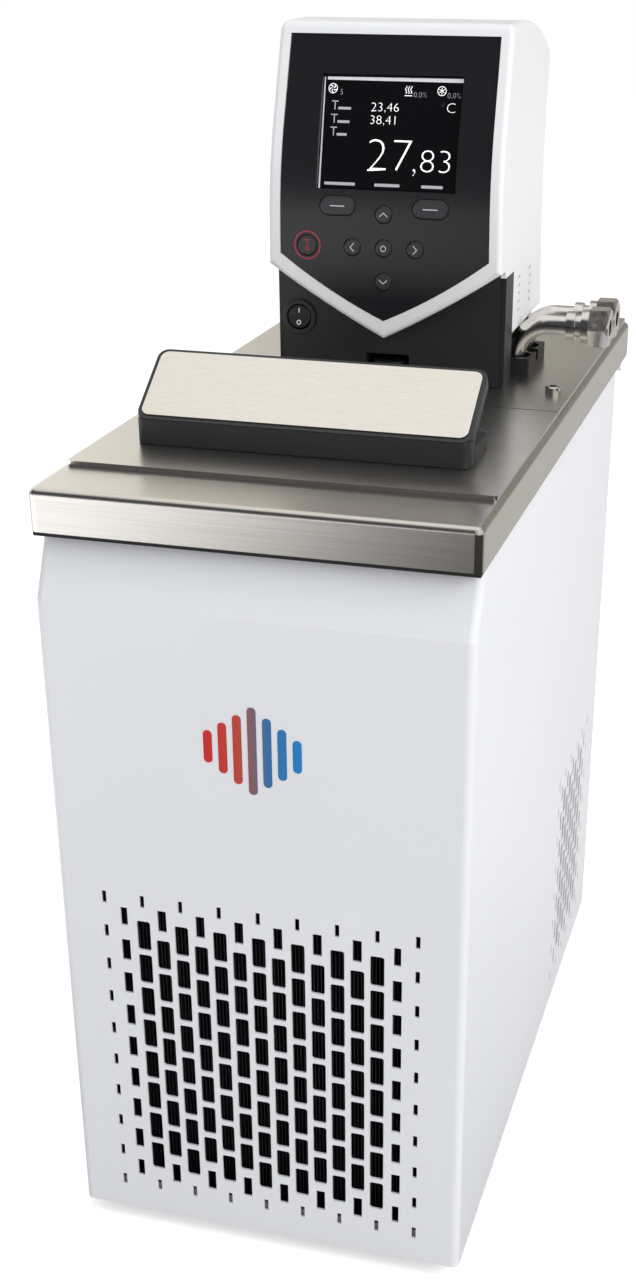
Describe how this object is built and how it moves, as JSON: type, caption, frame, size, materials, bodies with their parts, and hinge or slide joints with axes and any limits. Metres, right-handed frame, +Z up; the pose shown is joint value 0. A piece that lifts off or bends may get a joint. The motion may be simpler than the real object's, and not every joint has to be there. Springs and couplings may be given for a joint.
{
  "type": "refrigerated circulator",
  "caption": "Benchtop refrigerated circulator: steel bath with lid under a control head with colour display, on a tall white cooling cabinet with a perforated grille.",
  "frame": {"origin": "on the bench, under the middle of the cabinet", "axes": "+X to the right seen from the front, +Y to the rear, +Z up"},
  "size_m": [0.2123, 0.4159, 0.567],
  "materials": {
    "cabinet_paint": "satin",
    "inner_sheet": "satin",
    "brushed_steel": "brushed",
    "bright_steel": "polished",
    "plate_steel": "brushed",
    "white_plastic": "satin",
    "black_plastic": "fine textured",
    "panel_black": "semi gloss",
    "key_black": "satin",
    "screen": "gloss",
    "rubber_black": "matte",
    "foam": "matte",
    "copper": "satin",
    "brass_fitting": "satin",
    "board_green": "satin",
    "motor_metal": "satin",
    "fin_metal": "satin",
    "compressor_paint": "gloss",
    "fan_plastic": "matte",
    "lever_red": "satin"
  },
  "bodies": {
    "cabinet": {"feet": "rubber_black", "base_tray": "inner_sheet", "cabinet_shell": "cabinet_paint", "rear_panel": "cabinet_paint", "rim_gasket": "rubber_black", "rim_frame": "brushed_steel", "bath_tank": "brushed_steel", "tank_insulation": "foam", "evaporator_coil": "bright_steel", "head_shell": "white_plastic", "front_panel": "panel_black", "keypad_board": "board_green", "display_module": "screen", "head_base": "black_plastic", "head_cover": "black_plastic", "switch_bezel": "black_plastic", "mains_inlet": "black_plastic", "cooling_inlet": "black_plastic", "control_board": "board_green", "bridge_plate": "brushed_steel", "cap_screws": "bright_steel", "pump_motor": "motor_metal", "pump_housing": "bright_steel", "riser_tubes": "bright_steel", "heater_coil": "bright_steel", "temperature_probe": "bright_steel", "float_stem": "bright_steel", "connection_block": "black_plastic", "pump_pipe_front": "bright_steel", "pump_pipe_rear": "bright_steel", "union_nut_front": "bright_steel", "union_nut_rear": "bright_steel", "condenser_frame": "inner_sheet", "condenser_fins": "fin_metal", "condenser_tube": "copper", "fan_shroud": "inner_sheet", "fan_motor": "motor_metal", "compressor": "compressor_paint", "compressor_grommets": "rubber_black", "discharge_line": "copper", "liquid_line": "copper", "suction_line": "copper", "drain_valve": "brass_fitting"},
    "lid": {"bath_lid": "brushed_steel", "lid_handle": "black_plastic", "handle_plate": "plate_steel"},
    "rocker": {"switch_rocker": "black_plastic"},
    "knob": {"flow_knob": "black_plastic"},
    "float": {"level_float": "white_plastic"},
    "impeller": {"pump_rotor": "bright_steel"},
    "fan": {"fan_rotor": "fan_plastic"},
    "lever": {"drain_lever": "lever_red"},
    "key_up_cap": {"key_up": "key_black"},
    "key_down_cap": {"key_down": "key_black"},
    "key_left_cap": {"key_left": "key_black"},
    "key_right_cap": {"key_right": "key_black"},
    "key_enter_cap": {"key_enter": "key_black"},
    "key_limit_cap": {"key_limit": "key_black"},
    "key_soft_left_cap": {"key_soft_left": "key_black"},
    "key_soft_right_cap": {"key_soft_right": "key_black"}
  },
  "joints": [
    {"name": "lid_lift", "type": "slide", "parent": "cabinet", "child": "lid", "axis": [0, 0, 1], "range_m": [0, 0.06]},
    {"name": "switch_rock", "type": "hinge", "parent": "cabinet", "child": "rocker", "pos_m": [-0.0463, 0.0355, 0.4249], "axis": [1, 0, 0], "range_deg": [0, 14]},
    {"name": "knob_turn", "type": "hinge", "parent": "cabinet", "child": "knob", "pos_m": [0.0012, 0.043, 0.4], "axis": [0, 0, 1], "range_deg": [-135, 135]},
    {"name": "float_rise", "type": "slide", "parent": "cabinet", "child": "float", "axis": [0, 0, 1], "range_m": [0, 0.01]},
    {"name": "impeller_spin", "type": "hinge", "parent": "cabinet", "child": "impeller", "pos_m": [0.002, 0.082, 0.3], "axis": [0, 0, 1], "continuous": true},
    {"name": "fan_spin", "type": "hinge", "parent": "cabinet", "child": "fan", "pos_m": [0, -0.134, 0.108], "axis": [0, 1, 0], "continuous": true},
    {"name": "lever_turn", "type": "hinge", "parent": "cabinet", "child": "lever", "pos_m": [-0.052, 0.1985, 0.2289], "axis": [0, 0, 1], "range_deg": [0, 90]},
    {"name": "key_up_press", "type": "slide", "parent": "cabinet", "child": "key_up_cap", "axis": [0, 1, 0], "range_m": [0, 0.0008], "stiffness_N_per_m": 400},
    {"name": "key_down_press", "type": "slide", "parent": "cabinet", "child": "key_down_cap", "axis": [0, 1, 0], "range_m": [0, 0.0008], "stiffness_N_per_m": 400},
    {"name": "key_left_press", "type": "slide", "parent": "cabinet", "child": "key_left_cap", "axis": [0, 1, 0], "range_m": [0, 0.0008], "stiffness_N_per_m": 400},
    {"name": "key_right_press", "type": "slide", "parent": "cabinet", "child": "key_right_cap", "axis": [0, 1, 0], "range_m": [0, 0.0008], "stiffness_N_per_m": 400},
    {"name": "key_enter_press", "type": "slide", "parent": "cabinet", "child": "key_enter_cap", "axis": [0, 1, 0], "range_m": [0, 0.0008], "stiffness_N_per_m": 400},
    {"name": "key_limit_press", "type": "slide", "parent": "cabinet", "child": "key_limit_cap", "axis": [0, 1, 0], "range_m": [0, 0.0008], "stiffness_N_per_m": 400},
    {"name": "key_soft_left_press", "type": "slide", "parent": "cabinet", "child": "key_soft_left_cap", "axis": [0, 1, 0], "range_m": [0, 0.0008], "stiffness_N_per_m": 400},
    {"name": "key_soft_right_press", "type": "slide", "parent": "cabinet", "child": "key_soft_right_cap", "axis": [0, 1, 0], "range_m": [0, 0.0008], "stiffness_N_per_m": 400}
  ]
}
